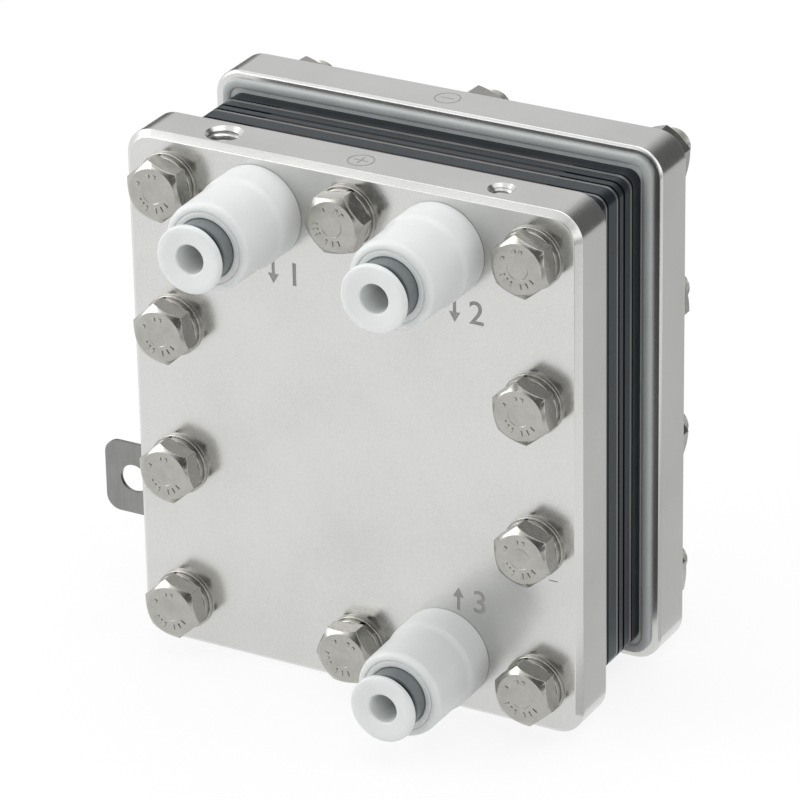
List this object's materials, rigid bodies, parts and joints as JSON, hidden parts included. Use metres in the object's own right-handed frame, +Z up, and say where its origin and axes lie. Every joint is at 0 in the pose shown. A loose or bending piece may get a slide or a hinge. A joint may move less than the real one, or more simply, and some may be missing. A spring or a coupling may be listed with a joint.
{
  "type": "pem electrolyzer cell",
  "caption": "Clamped electrolyzer stack between two thick end plates, with bolts, a terminal tab on one side and push-in tube fittings on the front.",
  "frame": {"origin": "middle of the front end plate's bottom face, which is also the plate's mid-thickness", "axes": "+X along the plates' width, to the right seen from the fittings' side; +Y from the front plate to the back plate; +Z up"},
  "size_m": [0.1282, 0.097, 0.123],
  "materials": {
    "plate_aluminium": "satin",
    "insulator_plastic": "matte",
    "pale_sheet_plastic": "satin",
    "graphite": "satin",
    "anode_frame_plastic": "matte",
    "cathode_frame_plastic": "matte",
    "gasket_rubber": "matte",
    "titanium": "satin",
    "mesh_titanium": "matte",
    "membrane_film": "satin",
    "bolt_steel": "satin",
    "sleeve_plastic": "matte",
    "fitting_plastic": "satin",
    "guide_ring_plastic": "satin",
    "collet_plastic": "satin"
  },
  "bodies": {
    "cell": {"front_end_plate": "plate_aluminium", "back_end_plate": "plate_aluminium", "front_insulating_sheet": "insulator_plastic", "front_collector": "titanium", "cell_gasket_1": "gasket_rubber", "anode_frame_1": "anode_frame_plastic", "anode_mesh_1": "mesh_titanium", "membrane_gasket_1": "gasket_rubber", "membrane_1": "membrane_film", "cathode_frame_1": "cathode_frame_plastic", "cathode_mesh_1": "mesh_titanium", "bipolar_front_sheet_1": "titanium", "bipolar_gasket_1": "gasket_rubber", "bipolar_mesh_1": "mesh_titanium", "bipolar_block_1": "graphite", "bipolar_back_sheet_1": "titanium", "cell_gasket_2": "gasket_rubber", "anode_frame_2": "anode_frame_plastic", "anode_mesh_2": "mesh_titanium", "membrane_gasket_2": "gasket_rubber", "membrane_2": "membrane_film", "cathode_frame_2": "cathode_frame_plastic", "cathode_mesh_2": "mesh_titanium", "back_collector": "titanium", "back_gasket": "gasket_rubber", "back_insulating_block": "insulator_plastic", "back_insulating_sheet": "pale_sheet_plastic", "bolts": "bolt_steel", "spring_washers": "bolt_steel", "back_spring_washers": "bolt_steel", "front_washers": "bolt_steel", "back_washers": "bolt_steel", "nuts": "bolt_steel", "bolt_sleeves": "sleeve_plastic", "oxygen_fitting_body": "fitting_plastic", "oxygen_guide_ring": "guide_ring_plastic", "oxygen_tube_seal": "gasket_rubber", "oxygen_base_seal": "gasket_rubber", "hydrogen_fitting_body": "fitting_plastic", "hydrogen_guide_ring": "guide_ring_plastic", "hydrogen_tube_seal": "gasket_rubber", "hydrogen_base_seal": "gasket_rubber", "water_fitting_body": "fitting_plastic", "water_guide_ring": "guide_ring_plastic", "water_tube_seal": "gasket_rubber", "water_base_seal": "gasket_rubber"},
    "oxygen_release": {"oxygen_collet": "collet_plastic", "oxygen_release_cap": "fitting_plastic"},
    "hydrogen_release": {"hydrogen_collet": "collet_plastic", "hydrogen_release_cap": "fitting_plastic"},
    "water_release": {"water_collet": "collet_plastic", "water_release_cap": "fitting_plastic"}
  },
  "joints": [
    {"name": "oxygen_release_slide", "type": "slide", "parent": "cell", "child": "oxygen_release", "axis": [0, 1, 0], "range_m": [0, 0.0014]},
    {"name": "hydrogen_release_slide", "type": "slide", "parent": "cell", "child": "hydrogen_release", "axis": [0, 1, 0], "range_m": [0, 0.0014]},
    {"name": "water_release_slide", "type": "slide", "parent": "cell", "child": "water_release", "axis": [0, 1, 0], "range_m": [0, 0.0014]}
  ]
}
